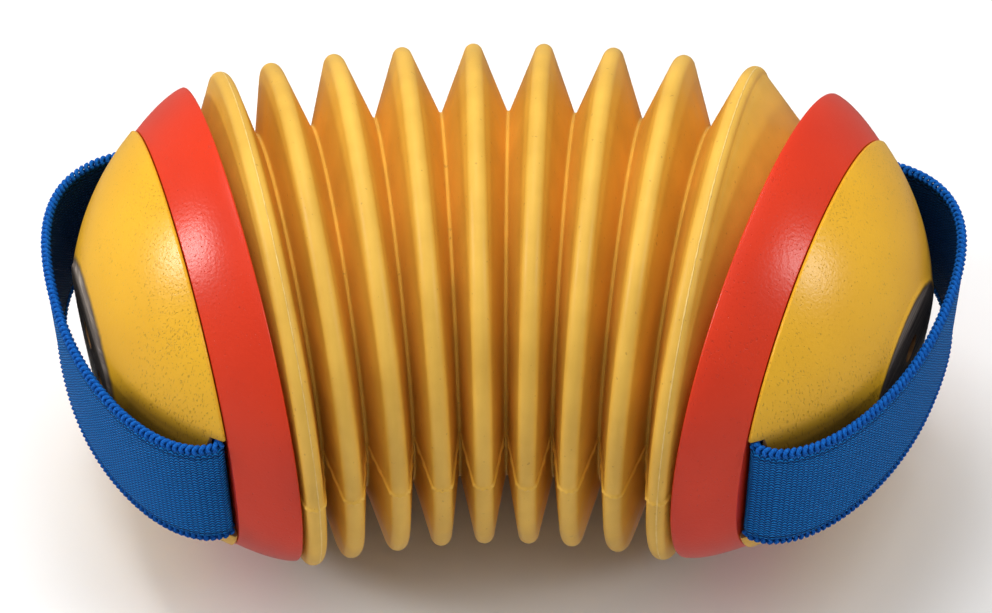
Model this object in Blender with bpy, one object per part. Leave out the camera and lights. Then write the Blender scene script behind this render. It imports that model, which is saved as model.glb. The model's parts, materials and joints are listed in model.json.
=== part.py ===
"""A toy concertina: a moulded rubber bellows of nine pleats, bent into a level arch
between two turned wooden ends, each with a collar, a dome and an elastic hand strap.

The bellows axis lies level. Every pleat, fold and end has a station on it: a centre and
the plan angle of the axis there. Lengths are in metres and +Z is up.
"""

import math

import bmesh
import bpy
from mathutils import Matrix, Vector

MM = 0.001
GAP = 0.3 * MM  # between pieces that touch

# The arch, from the left end to the right end. pleat_5 is the one that stays put.
MIDDLE_X, MIDDLE_Y = -4.98 * MM, 2.52 * MM
MIDDLE_ANGLE = math.radians(0.8)
LEFT_PITCHES = [length * MM for length in (12.8, 12.5, 12.2, 10.0, 5.6)]
LEFT_BENDS = [math.radians(angle) for angle in (4.4, 3.8, 2.6, 2.0, 3.1)]
RIGHT_PITCHES = [length * MM for length in (12.8, 12.6, 13.0, 13.1, 11.2)]
RIGHT_BENDS = [math.radians(angle) for angle in (4.1, 4.1, 3.8, 4.2, 9.0)]

# The bellows
CREST_RADIUS = 55.0 * MM
SHOULDER_RADIUS = 53.4 * MM
SHOULDER_HALF = 1.95 * MM
VALLEY_RADIUS = 40.4 * MM
VALLEY_HALF = 0.6 * MM
WALL = 1.6 * MM
PLEAT_SHARE, FOLD_SHARE = 0.49, 0.51  # where a pleat's flank ends and its fold's begins
BELLOWS_SIDES = 24

# The turned ends, along their own axis from the collar's widest circle, outwards
COLLAR_RADIUS = 53.2 * MM
COLLAR_FACE = -0.2 * MM
COLLAR_EDGE = 0.5 * MM
COLLAR_BACK = 12.6 * MM
COLLAR_BACK_RADIUS = 46.0 * MM
RECESS_RADIUS = 45.0 * MM
RECESS_FLOOR = 3.6 * MM
AIR_BORE = 12.0 * MM
DOME_BASE = COLLAR_BACK + GAP
DOME_BASE_RADIUS = 43.4 * MM
DOME_EDGE, DOME_EDGE_RADIUS = DOME_BASE + 0.8 * MM, 44.9 * MM
DOME_SPHERE_START = 15.0 * MM
DOME_SPHERE = 58.5 * MM
DOME_SPHERE_CENTRE = -22.2 * MM
DOME_FLAT = 32.7 * MM
DOME_RIM = 0.9 * MM
CHAMBER_RADIUS = 14.0 * MM
CHAMBER_ROOF = 28.0 * MM
SOUND_HOLE_RADIUS = 3.25 * MM
SOUND_HOLE_ACROSS = 6.15 * MM
SOUND_HOLE_UP = 1.3 * MM
END_SIDES = 40

# The hand strap, in the plane of the end's axis and the level line across it
STRAP_WIDTH = 32.0 * MM
STRAP_HALF_THICKNESS = 0.9 * MM
STRAP_TAIL = 14.1 * MM
STRAP_TAIL_START = 27.0 * MM
STRAP_TURN = 3.0 * MM
STRAP_OUT = 43.0 * MM
STRAP_PEAK = 41.3 * MM
STRAP_SIDE_HANDLE = 25.0 * MM, 43.6 * MM
STRAP_PEAK_HANDLE = STRAP_PEAK, 27.0 * MM
POCKET_ROOF = 16.4 * MM
POCKET_START = 25.0 * MM
NOTCH_FLAT = 41.3 * MM
POCKET_HALF_WIDTH = STRAP_WIDTH / 2 + 0.8 * MM
CUT_PAST = 52.0 * MM  # across, well outside the wood

# What holds each end together
CLAMP_INNER, CLAMP_OUTER = 24.0 * MM, 36.0 * MM
CLAMP_THICKNESS = 2.0 * MM
FLANGE_OUTER = 42.0 * MM
FLANGE_THICKNESS = 1.4 * MM
SCREW_CIRCLE = 30.0 * MM
SCREW_RADIUS = 1.2 * MM
SCREW_LENGTH = 9.5 * MM
SCREW_HEAD_RADIUS = 2.6 * MM
SCREW_HEAD = 1.4 * MM
TACK_PLACE = 32.0 * MM
TACK_RADIUS = 0.9 * MM
TACK_LENGTH = 7.0 * MM
TACK_HEAD_RADIUS = 3.5 * MM
TACK_HEAD = 0.6 * MM
REED_DISC_NEAR, REED_DISC_FAR = 21.0 * MM, 24.5 * MM
REED_LENGTH, REED_WIDTH, REED_THICKNESS = 14.0 * MM, 4.0 * MM, 0.4 * MM


class Station:
    """A place on the arch: the centre of a circle and the plan angle of its axis."""

    def __init__(self, x, y, angle):
        self.x, self.y, self.angle = x, y, angle

    def ahead(self, length):
        along = math.cos(self.angle), math.sin(self.angle)
        return Station(self.x + length * along[0], self.y + length * along[1], self.angle)

    def turned(self, angle):
        return Station(self.x, self.y, self.angle + angle)

    def matrix(self):
        place = Matrix.Translation((self.x, self.y, CREST_RADIUS))
        return place @ Matrix.Rotation(self.angle, 4, "Z")


def arch_stations():
    """Stations of the pleats and ends (pleat number to station; 0 and 10 are the ends) and
    of the folds between them (named by the lower of the two pleats)."""
    pleats = {5: Station(MIDDLE_X, MIDDLE_Y, MIDDLE_ANGLE)}
    folds = {}
    for number in range(5, 10):
        pitch, bend = RIGHT_PITCHES[number - 5], RIGHT_BENDS[number - 5]
        valley = pleats[number].ahead(pitch / 2)
        folds[number] = valley.turned(-bend / 2)
        pleats[number + 1] = valley.turned(-bend).ahead(pitch / 2)
    for number in range(5, 0, -1):
        pitch, bend = LEFT_PITCHES[5 - number], LEFT_BENDS[5 - number]
        valley = pleats[number].ahead(-pitch / 2)
        folds[number - 1] = valley.turned(bend / 2)
        pleats[number - 1] = valley.turned(bend).ahead(-pitch / 2)
    return pleats, folds


def clear_scene():
    for thing in list(bpy.data.objects):
        bpy.data.objects.remove(thing)


def material(name, colour, roughness, metallic=0.0):
    made = bpy.data.materials.new(name)
    made.use_nodes = True
    shader = made.node_tree.nodes["Principled BSDF"]
    shader.inputs["Base Color"].default_value = (*colour, 1)
    shader.inputs["Roughness"].default_value = roughness
    shader.inputs["Metallic"].default_value = metallic
    return made


def body_frame(name, matrix):
    """The empty that carries a moving body, with its origin on the body's joint axis."""
    empty = bpy.data.objects.new(name, None)
    empty.matrix_world = matrix
    bpy.context.scene.collection.objects.link(empty)
    return empty


def add_object(name, made, parent, look, smooth_angle=math.radians(35)):
    """Link a finished bmesh, given in its parent's space, as one object."""
    bmesh.ops.recalc_face_normals(made, faces=made.faces)
    mesh = bpy.data.meshes.new(name)
    made.to_mesh(mesh)
    made.free()
    mesh.shade_smooth()
    mesh.set_sharp_from_angle(angle=smooth_angle)
    thing = bpy.data.objects.new(name, mesh)
    bpy.context.scene.collection.objects.link(thing)
    thing.parent = parent
    if look:
        mesh.materials.append(look)
    return thing


def circle(station, offset, radius, sides):
    """World points round a station's axis, with a flat side at the bottom."""
    place = station.matrix()
    points = []
    for i in range(sides):
        turn = 2 * math.pi * (i + 0.5) / sides - math.pi / 2
        points.append(place @ Vector((offset, radius * math.cos(turn), radius * math.sin(turn))))
    return points


def mix(first, second, share):
    return [a.lerp(b, share) for a, b in zip(first, second)]


def bellows_ring(name, rings, parent, look):
    """A closed ring whose section goes once round the given circles of world points."""
    made = bmesh.new()
    to_parent = parent.matrix_world.inverted()
    loops = [[made.verts.new(to_parent @ point) for point in ring] for ring in rings]
    for near, far in zip(loops, loops[1:] + loops[:1]):
        for i in range(len(near)):
            j = (i + 1) % len(near)
            made.faces.new((near[i], near[j], far[j], far[i]))
    return add_object(name, made, parent, look)


def flank(crest, valley, side, share, inside=False):
    """The circle this share of the way down a flank; side is +1 where the valley is ahead."""
    shift = -side * WALL if inside else 0.0
    top = circle(crest, side * SHOULDER_HALF + shift, SHOULDER_RADIUS, BELLOWS_SIDES)
    foot = circle(valley, -side * VALLEY_HALF + shift, VALLEY_RADIUS, BELLOWS_SIDES)
    return mix(top, foot, share)


def end_foot(end, side):
    """Where an end pleat's flank runs down to: a station just inside the collar's face."""
    return end.ahead(side * (0.5 * MM + VALLEY_HALF))


def pleat(number, crest, before, after, parent, look):
    tip_radius = CREST_RADIUS / math.cos(math.pi / BELLOWS_SIDES)
    rings = [
        circle(crest, 0, tip_radius, BELLOWS_SIDES),
        circle(crest, SHOULDER_HALF, SHOULDER_RADIUS, BELLOWS_SIDES),
        flank(crest, after, 1, PLEAT_SHARE),
        flank(crest, after, 1, PLEAT_SHARE, inside=True),
        circle(crest, 0, SHOULDER_RADIUS - 2 * WALL, BELLOWS_SIDES),
        flank(crest, before, -1, PLEAT_SHARE, inside=True),
        flank(crest, before, -1, PLEAT_SHARE),
        circle(crest, -SHOULDER_HALF, SHOULDER_RADIUS, BELLOWS_SIDES),
    ]
    return bellows_ring(f"pleat_{number}", rings, parent, look)


def fold(number, valley, before, after, parent, look):
    """The lower halves of the two flanks that meet in a valley, and its floor."""
    floor = VALLEY_RADIUS - WALL
    rings = [
        flank(before, valley, 1, FOLD_SHARE),
        circle(valley, -VALLEY_HALF, VALLEY_RADIUS, BELLOWS_SIDES),
        circle(valley, VALLEY_HALF, VALLEY_RADIUS, BELLOWS_SIDES),
        flank(after, valley, -1, FOLD_SHARE),
        flank(after, valley, -1, FOLD_SHARE, inside=True),
        circle(valley, VALLEY_HALF + WALL / 2, floor, BELLOWS_SIDES),
        circle(valley, -VALLEY_HALF - WALL / 2, floor, BELLOWS_SIDES),
        flank(before, valley, 1, FOLD_SHARE, inside=True),
    ]
    return bellows_ring(f"fold_{number}", rings, parent, look)


def cuff(name, crest, end, side, parent, look):
    """The last half flank, from the end pleat down to its flange in the collar."""
    deep = side * (RECESS_FLOOR - FLANGE_THICKNESS - 2 * GAP)
    foot = end_foot(end, side)
    rings = [
        flank(crest, foot, side, FOLD_SHARE),
        circle(end, deep - side * MM, VALLEY_RADIUS, BELLOWS_SIDES),
        circle(end, deep, VALLEY_RADIUS, BELLOWS_SIDES),
        circle(end, deep, VALLEY_RADIUS - WALL, BELLOWS_SIDES),
        circle(end, deep - 2 * side * WALL, VALLEY_RADIUS - WALL, BELLOWS_SIDES),
        flank(crest, foot, side, FOLD_SHARE, inside=True),
    ]
    return bellows_ring(name, rings, parent, look)


def turned(name, profile, sides, parent, look, place=Matrix.Identity(4)):
    """A turned solid about the local X axis. The profile is a list of (offset, radius); it
    closes on itself, or on the axis where it starts and ends at radius 0."""
    made = bmesh.new()
    loops = []
    for offset, radius in profile:
        if radius == 0:
            loops.append([made.verts.new(place @ Vector((offset, 0, 0)))])
            continue
        loop = []
        for i in range(sides):
            turn = 2 * math.pi * (i + 0.5) / sides
            point = Vector((offset, radius * math.cos(turn), radius * math.sin(turn)))
            loop.append(made.verts.new(place @ point))
        loops.append(loop)
    on_axis = profile[0][1] == 0
    pairs = list(zip(loops, loops[1:])) if on_axis else list(zip(loops, loops[1:] + loops[:1]))
    for near, far in pairs:
        for i in range(sides):
            j = (i + 1) % sides
            corners = [near[i % len(near)], near[j % len(near)]]
            corners += [far[j % len(far)], far[i % len(far)]]
            made.faces.new(list(dict.fromkeys(corners)))
    return add_object(name, made, parent, look)


def box(name, low, high, parent, look=None):
    made = bmesh.new()
    bmesh.ops.create_cube(made, size=1.0)
    for vertex in made.verts:
        vertex.co = Vector([low[i] if vertex.co[i] < 0 else high[i] for i in range(3)])
    return add_object(name, made, parent, look)


def cut(thing, cutter):
    """Take the cutter out of the thing; the cutter stays as a hidden guide."""
    cutter.hide_render = True
    cutter.display_type = "WIRE"
    modifier = thing.modifiers.new(f"cut_{cutter.name}", "BOOLEAN")
    modifier.object = cutter


def rod_cutter(name, near, far, radius, parent, place=Matrix.Identity(4), sides=16):
    profile = [(near, 0), (near, radius), (far, radius), (far, 0)]
    return turned(name, profile, sides, parent, None, place)


def collar_profile():
    """From the dished bellows face round the rim and down the outer side to the bore."""
    rim = [(COLLAR_FACE, COLLAR_RADIUS - COLLAR_EDGE), (0, COLLAR_RADIUS)]
    slope = []
    for share in (0.25, 0.5, 0.75, 1):
        offset = (COLLAR_BACK - COLLAR_EDGE) * share
        fall = (COLLAR_RADIUS - COLLAR_BACK_RADIUS) * (offset / COLLAR_BACK) ** 2
        slope.append((offset, COLLAR_RADIUS - fall))
    back = [(COLLAR_BACK, COLLAR_BACK_RADIUS - 2 * COLLAR_EDGE), (COLLAR_BACK, AIR_BORE)]
    recess = [(RECESS_FLOOR, AIR_BORE), (RECESS_FLOOR, RECESS_RADIUS)]
    return rim + slope + back + recess


def dome_profile():
    """A base edge rounded over, a spherical flank and a flat outer face."""
    steps = 8
    start = math.acos((DOME_SPHERE_START - DOME_SPHERE_CENTRE) / DOME_SPHERE)
    stop = math.acos((DOME_FLAT - DOME_RIM / 2 - DOME_SPHERE_CENTRE) / DOME_SPHERE)
    profile = [(DOME_BASE, 0), (DOME_BASE, DOME_BASE_RADIUS), (DOME_EDGE, DOME_EDGE_RADIUS)]
    for i in range(steps + 1):
        angle = start + (stop - start) * i / steps
        offset = DOME_SPHERE_CENTRE + DOME_SPHERE * math.cos(angle)
        profile.append((offset, DOME_SPHERE * math.sin(angle)))
    flat_edge = profile[-1][1] - DOME_RIM
    return profile + [(DOME_FLAT, flat_edge), (DOME_FLAT, 0)]


def strap_path():
    """The strap's middle line as (offset, across), from one tail to the other."""
    points = [(STRAP_TAIL, STRAP_TAIL_START), (STRAP_TAIL, STRAP_OUT - STRAP_TURN)]
    for i in range(1, 4):
        turn = math.pi / 2 * i / 3
        offset = STRAP_TAIL + STRAP_TURN * (1 - math.cos(turn))
        points.append((offset, STRAP_OUT - STRAP_TURN * (1 - math.sin(turn))))
    start, handle = Vector(points[-1]), Vector(STRAP_SIDE_HANDLE)
    peak_handle, peak = Vector(STRAP_PEAK_HANDLE), Vector((STRAP_PEAK, 0))
    steps = 9
    for i in range(1, steps + 1):
        t = i / steps
        s = 1 - t
        place = s**3 * start + 3 * s * s * t * handle
        place += 3 * s * t * t * peak_handle + t**3 * peak
        points.append(tuple(place))
    return points + [(offset, -across) for offset, across in reversed(points[:-1])]


def strap(name, parent, look):
    made = bmesh.new()
    path = [Vector(point) for point in strap_path()]
    loops = []
    for i, point in enumerate(path):
        along = (path[min(i + 1, len(path) - 1)] - path[max(i - 1, 0)]).normalized()
        normal = Vector((-along.y, along.x)) * STRAP_HALF_THICKNESS
        loop = []
        for side, up in ((1, 1), (1, -1), (-1, -1), (-1, 1)):
            place = point + side * normal
            loop.append(made.verts.new((place.x, place.y, up * STRAP_WIDTH / 2)))
        loops.append(loop)
    for near, far in zip(loops, loops[1:]):
        for i in range(4):
            j = (i + 1) % 4
            made.faces.new((near[i], near[j], far[j], far[i]))
    made.faces.new(loops[0])
    made.faces.new(loops[-1])
    return add_object(name, made, parent, look)


def pin_profile(tip, head_face, shank, head_radius, head_thickness):
    """A headed pin that points outwards: its tip, its shank, and its head below."""
    return [
        (tip, 0),
        (tip - shank, shank),
        (head_face, shank),
        (head_face, head_radius),
        (head_face - head_thickness, 0.7 * head_radius),
        (head_face - head_thickness, 0),
    ]


def build_end(side, parent, looks):
    """One wooden end and all that is fixed to it. The parent's +X points outwards, so its
    +Y is the back on the right end and the front on the left one."""
    hand = "right" if side > 0 else "left"
    collar = turned(f"{hand}_collar", collar_profile(), END_SIDES, parent, looks["red_paint"])
    dome = turned(f"{hand}_dome", dome_profile(), END_SIDES, parent, looks["yellow_paint"])
    chamber = (DOME_BASE - MM, CHAMBER_ROOF, CHAMBER_RADIUS)
    cut(dome, rod_cutter(f"cut_{hand}_chamber", *chamber, parent, sides=24))
    for number, across in ((1, -1), (2, 1)):
        up = SOUND_HOLE_UP * across * side
        place = Matrix.Translation((0, across * SOUND_HOLE_ACROSS, up))
        hole = (CHAMBER_ROOF - MM, DOME_FLAT + MM, SOUND_HOLE_RADIUS)
        cut(dome, rod_cutter(f"cut_{hand}_sound_hole_{number}", *hole, parent, place))

    strap_piece = strap(f"{hand}_strap", parent, looks["elastic"])
    for word, across in (("front", -side), ("back", side)):
        inner, outer = sorted((across * POCKET_START, across * CUT_PAST))
        low = (DOME_BASE - MM, inner, -POCKET_HALF_WIDTH)
        high = (POCKET_ROOF, outer, POCKET_HALF_WIDTH)
        cut(dome, box(f"cut_{hand}_pocket_{word}", low, high, parent))
        inner, outer = sorted((across * NOTCH_FLAT, across * CUT_PAST))
        low = (DOME_BASE - 2 * MM, inner, -POCKET_HALF_WIDTH)
        high = (DOME_FLAT, outer, POCKET_HALF_WIDTH)
        cut(dome, box(f"cut_{hand}_notch_{word}", low, high, parent))

        # The tack's head lies on the tail, in the pocket; its point goes into the collar.
        place = Matrix.Translation((0, across * TACK_PLACE, 0)) @ Matrix.Diagonal((-1, 1, -1, 1))
        head_face = -(STRAP_TAIL + STRAP_HALF_THICKNESS + GAP)
        tack_head = (TACK_HEAD_RADIUS, TACK_HEAD)
        tack = pin_profile(head_face + TACK_LENGTH, head_face, TACK_RADIUS, *tack_head)
        turned(f"{hand}_strap_tack_{word}", tack, 12, parent, looks["steel"], place)
        hole = (head_face - GAP / 3, head_face + TACK_LENGTH + GAP, TACK_RADIUS + GAP)
        cutter = rod_cutter(f"cut_{hand}_tack_{word}", *hole, parent, place, sides=12)
        cut(strap_piece, cutter)
        cut(collar, cutter)

    flange_near = RECESS_FLOOR - GAP - FLANGE_THICKNESS
    flange_profile = [
        (flange_near, CLAMP_INNER),
        (flange_near, FLANGE_OUTER),
        (flange_near + FLANGE_THICKNESS, FLANGE_OUTER),
        (flange_near + FLANGE_THICKNESS, CLAMP_INNER),
    ]
    flange = turned(f"{hand}_flange", flange_profile, BELLOWS_SIDES, parent, looks["rubber"])
    clamp_near = flange_near - GAP - CLAMP_THICKNESS
    clamp_profile = [
        (clamp_near, CLAMP_INNER),
        (clamp_near, CLAMP_OUTER),
        (clamp_near + CLAMP_THICKNESS, CLAMP_OUTER),
        (clamp_near + CLAMP_THICKNESS, CLAMP_INNER),
    ]
    clamp = turned(f"{hand}_clamp_ring", clamp_profile, BELLOWS_SIDES, parent, looks["birch"])
    head_face = clamp_near - GAP
    screw_head = (SCREW_HEAD_RADIUS, SCREW_HEAD)
    screw = pin_profile(head_face + SCREW_LENGTH, head_face, SCREW_RADIUS, *screw_head)
    for number in range(1, 4):
        turn = Matrix.Rotation(2 * math.pi * number / 3, 4, "X")
        place = turn @ Matrix.Translation((0, 0, SCREW_CIRCLE))
        turned(f"{hand}_clamp_screw_{number}", screw, 12, parent, looks["steel"], place)
        hole = (head_face - GAP / 3, head_face + SCREW_LENGTH + GAP, SCREW_RADIUS + GAP)
        cutter = rod_cutter(f"cut_{hand}_screw_{number}", *hole, parent, place, sides=12)
        for piece in (clamp, flange, collar):
            cut(piece, cutter)

    disc_radius = CHAMBER_RADIUS - GAP
    disc = [(REED_DISC_NEAR, 0), (REED_DISC_NEAR, disc_radius)]
    disc += [(REED_DISC_FAR, disc_radius), (REED_DISC_FAR, 0)]
    block = turned(f"{hand}_reed_block", disc, 24, parent, looks["reed_plastic"])
    slot = (REED_DISC_NEAR - MM, -REED_LENGTH / 2 + 3 * MM, -REED_WIDTH / 2 + MM)
    slot_end = (REED_DISC_FAR + MM, REED_LENGTH / 2 - MM, REED_WIDTH / 2 - MM)
    cut(block, box(f"cut_{hand}_reed_slot", slot, slot_end, parent))
    reed_far = REED_DISC_NEAR - GAP
    low = (reed_far - REED_THICKNESS, -REED_LENGTH / 2, -REED_WIDTH / 2)
    box(f"{hand}_reed", low, (reed_far, REED_LENGTH / 2, REED_WIDTH / 2), parent, looks["brass"])


def make_looks():
    return {
        "rubber": material("bellows_rubber", (0.72, 0.36, 0.06), 0.5),
        "red_paint": material("red_paint", (0.62, 0.03, 0.015), 0.3),
        "yellow_paint": material("yellow_paint", (0.80, 0.40, 0.03), 0.35),
        "elastic": material("blue_elastic", (0.01, 0.10, 0.42), 0.85),
        "birch": material("birch_plywood", (0.60, 0.42, 0.24), 0.6),
        "steel": material("zinc_steel", (0.55, 0.55, 0.53), 0.35, 1.0),
        "brass": material("reed_brass", (0.78, 0.57, 0.22), 0.3, 1.0),
        "reed_plastic": material("reed_plastic", (0.75, 0.73, 0.68), 0.5),
    }


def main():
    clear_scene()
    looks = make_looks()
    pleats, folds = arch_stations()
    rubber = looks["rubber"]
    for number in range(1, 10):
        frame = body_frame(f"frame_pleat_{number}", pleats[number].matrix())
        neighbours = folds[number - 1], folds[number]
        if number == 1:
            neighbours = end_foot(pleats[0], -1), folds[1]
        if number == 9:
            neighbours = folds[8], end_foot(pleats[10], 1)
        pleat(number, pleats[number], *neighbours, frame, rubber)
    for number in range(1, 9):
        frame = body_frame(f"frame_fold_{number}", folds[number].matrix())
        fold(number, folds[number], pleats[number], pleats[number + 1], frame, rubber)
    for side, hand, number, gap in ((-1, "left", 0, 0), (1, "right", 10, 9)):
        crest = pleats[number - side]
        frame = body_frame(f"frame_{hand}_cuff", folds[gap].matrix())
        cuff(f"{hand}_cuff", crest, pleats[number], side, frame, rubber)
        outwards = pleats[number].turned(0 if side > 0 else math.pi)
        build_end(side, body_frame(f"frame_{hand}_end", outwards.matrix()), looks)


main()
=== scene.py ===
"""The looks of the toy concertina: a moulded rubber bellows between two painted wooden ends.

The bellows is made of closed rings. Each crest tip rides on its pleat, and each flank is a
ring between its pleat and the fold at its foot.
"""

import json
import math

import bmesh
import bpy
import numpy as np
from mathutils import Matrix, Vector


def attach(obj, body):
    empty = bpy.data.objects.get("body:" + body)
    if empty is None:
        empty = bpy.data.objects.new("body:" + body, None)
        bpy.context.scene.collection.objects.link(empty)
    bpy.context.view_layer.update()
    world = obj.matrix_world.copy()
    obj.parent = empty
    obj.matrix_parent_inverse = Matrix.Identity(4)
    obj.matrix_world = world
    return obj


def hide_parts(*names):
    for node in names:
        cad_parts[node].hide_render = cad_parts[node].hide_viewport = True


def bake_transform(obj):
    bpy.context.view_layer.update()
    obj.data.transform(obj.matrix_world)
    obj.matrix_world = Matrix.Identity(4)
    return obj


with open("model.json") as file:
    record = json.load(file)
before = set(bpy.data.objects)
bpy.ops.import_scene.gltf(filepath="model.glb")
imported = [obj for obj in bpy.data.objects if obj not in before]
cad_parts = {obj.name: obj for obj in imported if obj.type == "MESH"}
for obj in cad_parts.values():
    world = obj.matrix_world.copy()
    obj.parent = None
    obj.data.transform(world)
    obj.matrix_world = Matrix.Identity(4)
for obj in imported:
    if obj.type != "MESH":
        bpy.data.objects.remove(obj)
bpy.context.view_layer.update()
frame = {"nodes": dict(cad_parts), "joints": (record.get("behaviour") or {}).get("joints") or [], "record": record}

MM = 0.001
UP = np.array([0.0, 0.0, 1.0])

# The bellows
CREST_RADIUS = 55.0 * MM
TIP_ROUND = 2.05 * MM
TIP_TURN = math.radians(72)
SHOULDER_HALF = TIP_ROUND * math.sin(TIP_TURN)
SHOULDER_RADIUS = CREST_RADIUS - TIP_ROUND * (1 - math.cos(TIP_TURN))
VALLEY_RADIUS = 40.4 * MM
VALLEY_HALF = 0.4 * MM
VALLEY_DEPTH = 0.3 * MM
END_DEPTH = 1.3 * MM  # how far the last flanks reach into the collars
WALL = 1.6 * MM
TIP_SHARE = 0.12  # the share of a flank that belongs to the crest tip's piece
END_TIP_SHARE = 0.05
SEAM_TILT = math.radians(1.7)
SEAM_HEIGHT = 0.5 * MM
SEAM_WIDTH = 0.35 * MM
SEAM_STEP = 0.12 * MM
SEAM_STEP_ROUND = 0.1 * MM
FLASH_ACROSS = 0.5 * MM  # where the end crests' flash line runs, off the crest's middle
FAR_FROM_FLASH = 9.0 * MM
FLASH_RAGGED = 0.3 * MM
FLASH_HALF_WIDTH = 0.02 * MM
FLASH_FADE = 0.12 * MM

# The ends, along their own axis from the collar's widest circle, outwards
AXIS_HEIGHT = CREST_RADIUS
COLLAR_RADIUS = 53.2 * MM
COLLAR_BACK = 12.6 * MM
COLLAR_BACK_RADIUS = 46.2 * MM
COLLAR_CURVE = 1.4
COLLAR_FACE = 0.2 * MM
COLLAR_RIM_ROUND = 0.4 * MM
COLLAR_BACK_ROUND = 0.3 * MM
RECESS_RADIUS = 45.0 * MM
RECESS_FLOOR = 3.6 * MM
AIR_BORE = 12.0 * MM
DOME_BASE = 12.75 * MM
DOME_BASE_RADIUS = 46.0 * MM
DOME_SPHERE_START = 13.4 * MM
DOME_SPHERE = 58.5 * MM
DOME_SPHERE_CENTRE = -22.2 * MM
DOME_FLAT = 32.7 * MM
DOME_RIM_RISE = 0.5 * MM
DOME_RIM_DROP = 0.9 * MM
CHAMBER_RADIUS = 14.0 * MM
CHAMBER_ROOF = 28.0 * MM
SOUND_HOLE_RADIUS = 3.25 * MM
SOUND_HOLE_ACROSS = 6.15 * MM
SOUND_HOLE_UP = 1.3 * MM
SCORCH_RADIUS = {"left": 24.0 * MM, "right": 21.8 * MM}
DOME_FRONT = 20.0 * MM  # past this offset the dome's face is turned outwards
SCORCH_RAGGED = 1.2 * MM
BURNT_BAND = 1.4 * MM
BARE_INSET = 0.8 * MM
BARE_BAND = 1.5 * MM
# The painted shadow of the strap on the dome, in the dome's own coordinates
STRAP_SHADOW_HALF_WIDTH = 18.5 * MM
STRAP_SHADOW_EDGE = 4.0 * MM
STRAP_SHADOW_START = 17.0 * MM
STRAP_SHADOW_RUN = 8.0 * MM
TURNED_RING = 17.6 * MM
TURNED_RING_HALF_WIDTH = 0.35 * MM
TURNED_SIDES = 160

# The strap
STRAP_BODY_HALF = 14.4 * MM
STRAP_HALF_THICKNESS = 0.85 * MM
STRAP_TAIL = 14.0 * MM
STRAP_TAIL_START = 27.0 * MM
STRAP_TURN = 1.2 * MM
STRAP_SPREAD = 0.6 * MM
STRAP_FAR_HANDLES = (28.0 * MM, 33.0 * MM)  # offset near the slot, across near the top
STRAP_NEAR_HANDLES = (26.5 * MM, 26.5 * MM)
STRAP_CLEAR = 20.0 * MM
STRAP_RIBS = 0.015 * MM
STRAP_STEP = 0.3 * MM
STRAP_EDGE_ROUND = 0.8 * MM
STRAP_OUT = 43.0 * MM
STRAP_PEAK = 38.4 * MM
STRAP_LEAN = 4.0 * MM  # towards the outside of the arch, at the loop's top
RIB_PITCH = 1.1 * MM
STITCH_PITCH = 0.85 * MM
EDGE_SEAM = 13.0 * MM
PICOT_PITCH = 1.35 * MM
PICOT_RADIUS = 0.5 * MM
PICOT_RISE = 0.6 * MM
PICOT_SWING = 0.95 * MM
PICOT_INSET = 0.15 * MM
PICOT_BUNCHING = 0.22 * PICOT_PITCH
SEAM_GROOVE = 0.3 * MM
POCKET_ROOF = 15.4 * MM
POCKET_START = 25.0 * MM
NOTCH_FLAT = 41.3 * MM
PAST_DOME = 52.0 * MM
POCKET_HALF_WIDTH = 16.7 * MM


# ---------------------------------------------------------------- places on the arch

class Station:
    """A centre on the bellows' axis and the direction of the axis there."""

    def __init__(self, centre, direction):
        self.centre = np.array(centre, float)
        self.along = np.array([direction[0], direction[1], 0.0])
        self.along /= np.linalg.norm(self.along)
        self.across = np.array([-self.along[1], self.along[0], 0.0])

    def ahead(self, length):
        return Station(self.centre + length * self.along, self.along)

    def matrix(self):
        turn = Matrix((self.along, self.across, UP)).transposed().to_4x4()
        return Matrix.Translation(self.centre) @ turn


def crest_centre(number):
    """The middle of a pleat's lowest edge, lifted to the axis."""
    points = np.array([v.co for v in frame["nodes"][f"pleat_{number}"].data.vertices])
    lowest = points[points[:, 2] < points[:, 2].min() + 0.1 * MM]
    low, high = lowest.min(0), lowest.max(0)
    return [(low[0] + high[0]) / 2, (low[1] + high[1]) / 2, AXIS_HEIGHT]


def arch_stations():
    """Stations of the nine crests, the folds between them (named by their lower pleat) and
    the two ends, whose axes point outwards."""
    joints = {joint["name"]: joint for joint in frame["joints"]}
    mounts = {mount["name"]: mount for mount in frame["record"]["mounts"]}
    ends = {}
    for hand in ("left", "right"):
        mount = mounts[f"{hand}_dome_flat"]
        ends[hand] = Station(mount["pos_m"], mount["axis"]).ahead(-DOME_FLAT)
    directions = {}
    for number in (6, 7, 8, 9):
        directions[number] = np.array(joints[f"squeeze_{number - 1}_{number}"]["axis"])
    for number in (1, 2, 3, 4):
        directions[number] = -np.array(joints[f"squeeze_{number}_{number + 1}"]["axis"])
    hinge = joints["bend_5_6"]["pos_m"]
    directions[5] = np.array(hinge) - np.array(crest_centre(5))
    crests = {n: Station(crest_centre(n), directions[n]) for n in range(1, 10)}
    folds = {}
    for n in range(1, 9):
        middle = crests[n].along + crests[n + 1].along
        folds[n] = Station(joints[f"bend_{n}_{n + 1}"]["pos_m"], middle)
    return crests, folds, ends


# ---------------------------------------------------------------- meshes

def ring_angles():
    """Angles round the bellows: even steps, and close ones where the mould seam runs."""
    even = [2 * math.pi * i / 144 for i in range(144)]
    near_seam = [step * MM / CREST_RADIUS for step in (0.15, 0.3, 0.5, 0.8, 1.3)]
    close = []
    for seam in (-SEAM_TILT, math.pi - SEAM_TILT):
        for step in near_seam:
            close += [(seam + step) % (2 * math.pi), (seam - step) % (2 * math.pi)]
    return np.array(sorted(even + close))


ANGLES = ring_angles()


def circle(station, offset, radius):
    across = np.outer(np.cos(ANGLES), station.across)
    up = np.outer(np.sin(ANGLES), UP)
    return station.centre + offset * station.along + radius * (across + up)


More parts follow.
